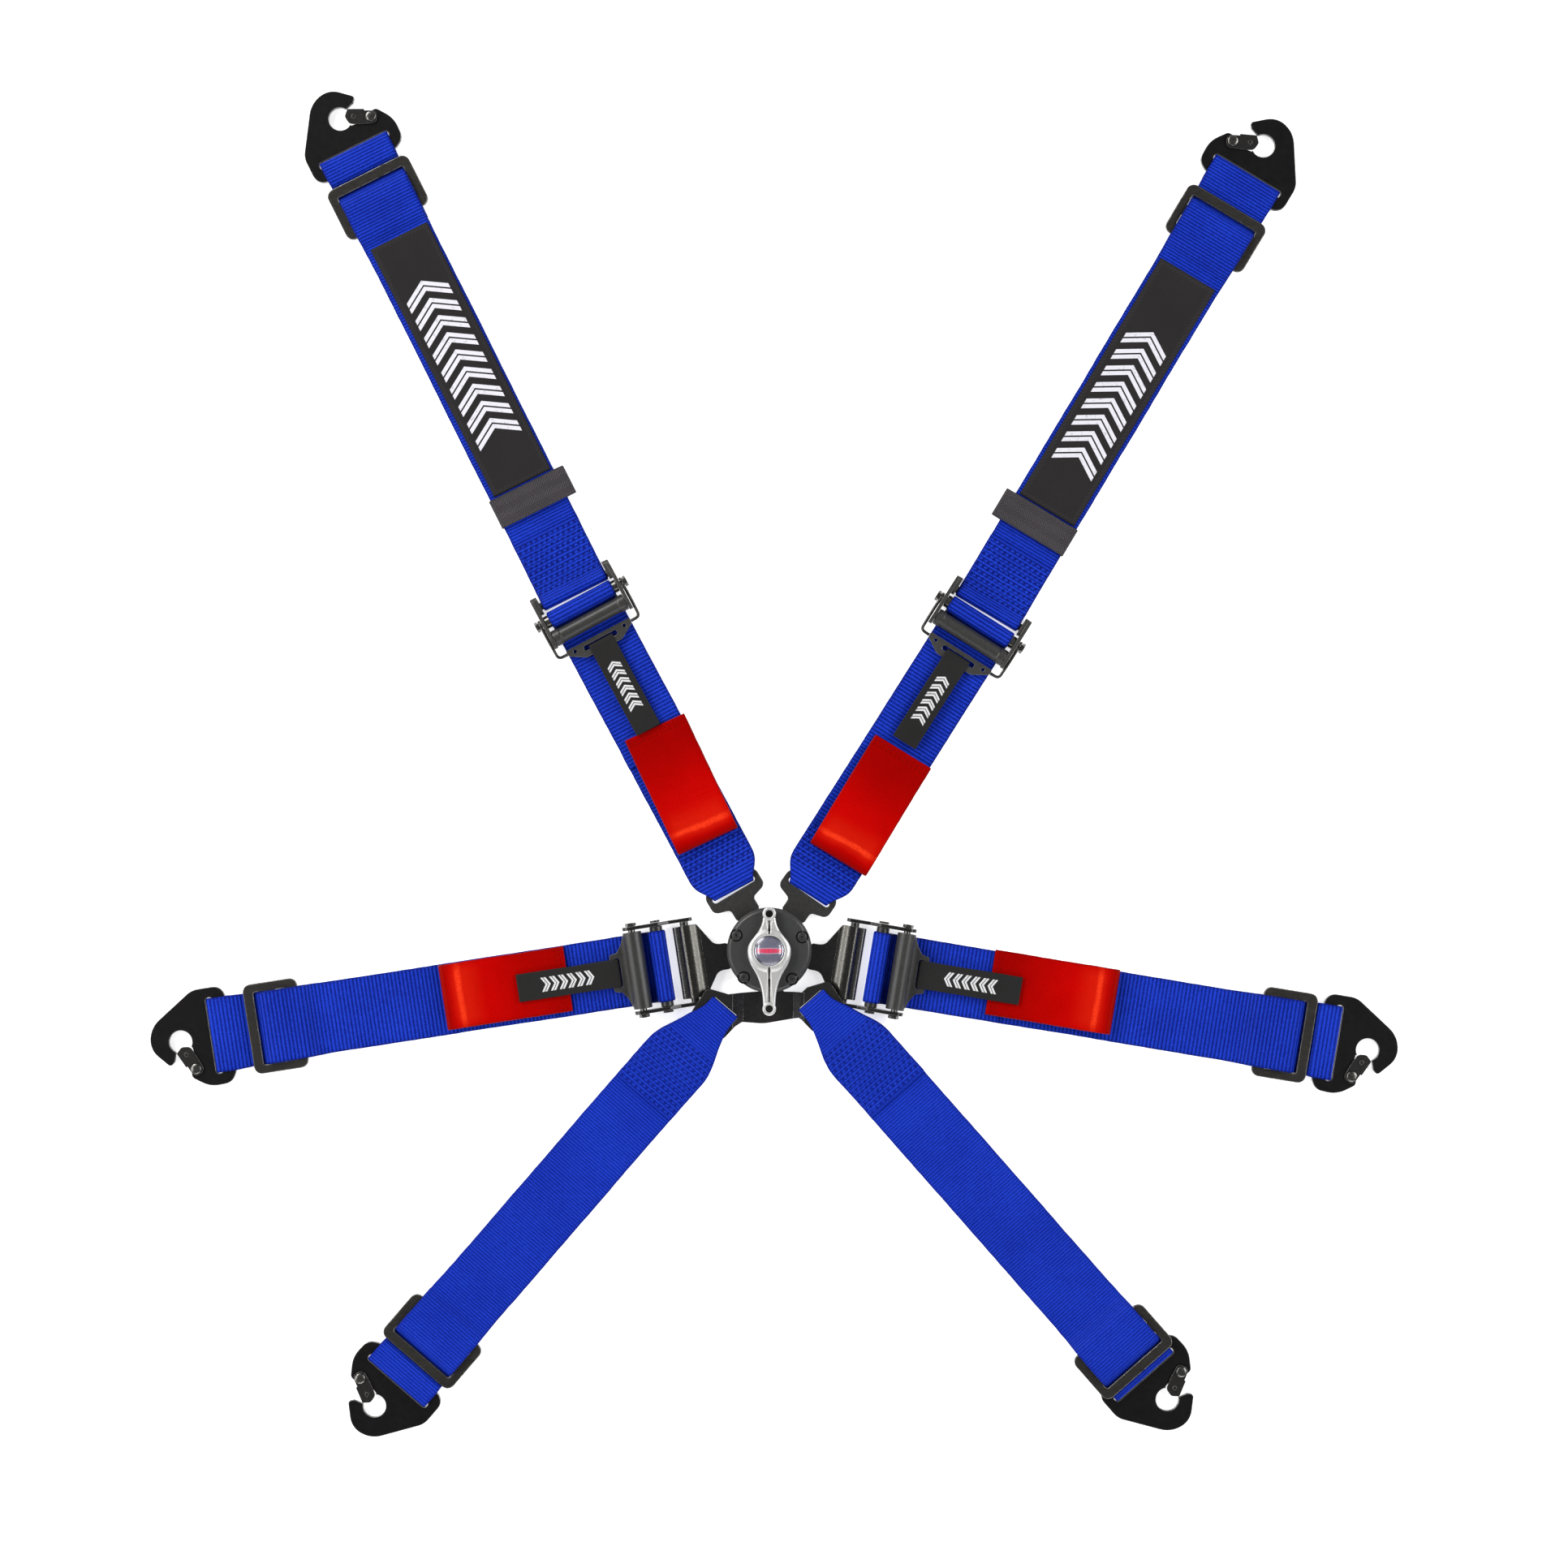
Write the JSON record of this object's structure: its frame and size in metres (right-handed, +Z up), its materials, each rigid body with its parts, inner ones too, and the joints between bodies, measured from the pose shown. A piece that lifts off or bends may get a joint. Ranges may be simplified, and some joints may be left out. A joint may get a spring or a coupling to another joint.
{
  "type": "racing harness",
  "caption": "Blue webbing harness laid flat: rotary camlock buckle, shoulder, lap and crotch straps with adjusters, red pull loops, three-bar slides and snap hooks.",
  "frame": {"origin": "on the buckle's turning axis, at the level of the surface the harness lies on", "axes": "+Z up out of the buckle towards the lever, +Y towards the shoulder straps, +X towards the wearer's left lap strap in the layout, right side as seen from above"},
  "size_m": [0.8769, 0.9456, 0.028],
  "materials": {
    "webbing_blue": "ribbed polyester webbing",
    "webbing_red": "satin webbing",
    "panel_cloth": "black woven cloth with a printed pattern",
    "elastic_black": "black elastic tape",
    "tab_rubber": "soft moulded plastic",
    "hook_black": "satin black coated steel",
    "bright_steel": "bright plated steel",
    "slide_black": "satin black coated steel, worn at the edges",
    "lever_aluminium": "polished and brushed",
    "badge": "domed resin",
    "inner_steel": "plain",
    "buckle_black": "satin black",
    "screw_black": "satin black",
    "tongue_black": "semi-gloss black coated steel",
    "bail_steel": "black chrome wire",
    "tilt_grey": "dark grey coated steel",
    "adjuster_black": "satin black coated steel"
  },
  "bodies": {
    "root": {"buckle_base": "buckle_black", "buckle_guide_plate": "buckle_black", "buckle_cover": "buckle_black", "cover_screws": "screw_black", "pin_springs": "inner_steel", "tongue_shoulder_l": "tongue_black", "tongue_shoulder_r": "tongue_black", "tongue_lap_l": "tongue_black", "tongue_lap_r": "tongue_black", "crotch_plate": "tongue_black", "strap_shoulder_lower_l": "webbing_blue", "strap_shoulder_lower_r": "webbing_blue", "strap_shoulder_upper_l": "webbing_blue", "strap_shoulder_upper_r": "webbing_blue", "strap_lap_l": "webbing_blue", "strap_lap_r": "webbing_blue", "strap_crotch_l": "webbing_blue", "strap_crotch_r": "webbing_blue", "pull_loops_shoulder": "webbing_red", "pull_loops_lap": "webbing_red", "panel_l": "panel_cloth", "panel_r": "panel_cloth", "adjuster_frame_l": "adjuster_black", "adjuster_frame_r": "adjuster_black", "adjuster_bolts": "bright_steel", "adjuster_rollers": "adjuster_black", "lap_axles": "bright_steel", "lap_slide_bars": "adjuster_black", "slides_shoulder": "slide_black", "slides_lap": "slide_black", "slides_crotch": "slide_black", "hook_shoulder_l": "hook_black", "hook_shoulder_r": "hook_black", "hook_lap_l": "hook_black", "hook_lap_r": "hook_black", "hook_crotch_l": "hook_black", "hook_crotch_r": "hook_black", "gate_rivets": "bright_steel"},
    "lever": {"release_lever": "lever_aluminium", "lever_badge": "badge", "cam_spindle": "inner_steel"},
    "pins": {"lock_pins": "inner_steel"},
    "bail_l": {"bail_l": "bail_steel", "tilt_plate_l": "tilt_grey", "tab_shoulder_l": "tab_rubber"},
    "bail_r": {"bail_r": "bail_steel", "tilt_plate_r": "tilt_grey", "tab_shoulder_r": "tab_rubber"},
    "tilt_l": {"lap_tilt_l": "tilt_grey", "tab_lap_l": "tab_rubber"},
    "tilt_r": {"lap_tilt_r": "tilt_grey", "tab_lap_r": "tab_rubber"},
    "keeper_l": {"keeper_l": "elastic_black"},
    "keeper_r": {"keeper_r": "elastic_black"},
    "gate_shoulder_l": {"gate_shoulder_l": "hook_black"},
    "gate_shoulder_r": {"gate_shoulder_r": "hook_black"},
    "gate_lap_l": {"gate_lap_l": "hook_black"},
    "gate_lap_r": {"gate_lap_r": "hook_black"},
    "gate_crotch_l": {"gate_crotch_l": "hook_black"},
    "gate_crotch_r": {"gate_crotch_r": "hook_black"}
  },
  "joints": [
    {"name": "lever_turn", "type": "hinge", "parent": "root", "child": "lever", "pos_m": [0, 0, 0.018], "axis": [0, 0, -1], "range_deg": [0, 40], "stiffness_Nm_per_rad": 0.4},
    {"name": "pins_lift", "type": "slide", "parent": "root", "child": "pins", "axis": [0, 0, 1], "range_m": [0, 0.0037], "deforming": ["pin_springs"]},
    {"name": "gate_shoulder_l_swing", "type": "hinge", "parent": "root", "child": "gate_shoulder_l", "pos_m": [-0.28001, 0.58542, 0.0056], "axis": [0, 0, 1], "range_deg": [0, 30], "stiffness_Nm_per_rad": 0.02},
    {"name": "gate_shoulder_r_swing", "type": "hinge", "parent": "root", "child": "gate_shoulder_r", "pos_m": [0.32567, 0.56815, 0.0056], "axis": [0, 0, -1], "range_deg": [0, 30], "stiffness_Nm_per_rad": 0.02},
    {"name": "gate_lap_l_swing", "type": "hinge", "parent": "root", "child": "gate_lap_l", "pos_m": [-0.40262, -0.08378, 0.0056], "axis": [0, 0, -1], "range_deg": [0, 30], "stiffness_Nm_per_rad": 0.02},
    {"name": "gate_lap_r_swing", "type": "hinge", "parent": "root", "child": "gate_lap_r", "pos_m": [0.40912, -0.08922, 0.0056], "axis": [0, 0, 1], "range_deg": [0, 30], "stiffness_Nm_per_rad": 0.02},
    {"name": "gate_crotch_l_swing", "type": "hinge", "parent": "root", "child": "gate_crotch_l", "pos_m": [-0.28747, -0.30131, 0.0056], "axis": [0, 0, 1], "range_deg": [0, 30], "stiffness_Nm_per_rad": 0.02},
    {"name": "gate_crotch_r_swing", "type": "hinge", "parent": "root", "child": "gate_crotch_r", "pos_m": [0.28951, -0.29675, 0.0056], "axis": [0, 0, -1], "range_deg": [0, 30], "stiffness_Nm_per_rad": 0.02},
    {"name": "bail_l_lift", "type": "hinge", "parent": "root", "child": "bail_l", "pos_m": [-0.132, 0.2425, 0.0072], "axis": [-0.8821, -0.471, 0], "range_deg": [0, 75]},
    {"name": "bail_r_lift", "type": "hinge", "parent": "root", "child": "bail_r", "pos_m": [0.148, 0.23, 0.0072], "axis": [-0.8447, 0.5352, 0], "range_deg": [0, 75]},
    {"name": "tilt_l_lift", "type": "hinge", "parent": "root", "child": "tilt_l", "pos_m": [-0.0924, -0.0143, 0.0105], "axis": [-0.153, 0.9882, 0], "range_deg": [0, 75]},
    {"name": "tilt_r_lift", "type": "hinge", "parent": "root", "child": "tilt_r", "pos_m": [0.09224, -0.01527, 0.0105], "axis": [-0.1633, -0.9866, 0], "range_deg": [0, 75]},
    {"name": "keeper_l_slide", "type": "slide", "parent": "root", "child": "keeper_l", "axis": [-0.4478, 0.8942, 0], "range_m": [-0.005, 0.12]},
    {"name": "keeper_r_slide", "type": "slide", "parent": "root", "child": "keeper_r", "axis": [0.5135, 0.8581, 0], "range_m": [-0.005, 0.12]}
  ],
  "couplings": [
    {"joint": "pins_lift", "follows": "lever_turn", "m_per_rad": 0.0051566}
  ]
}
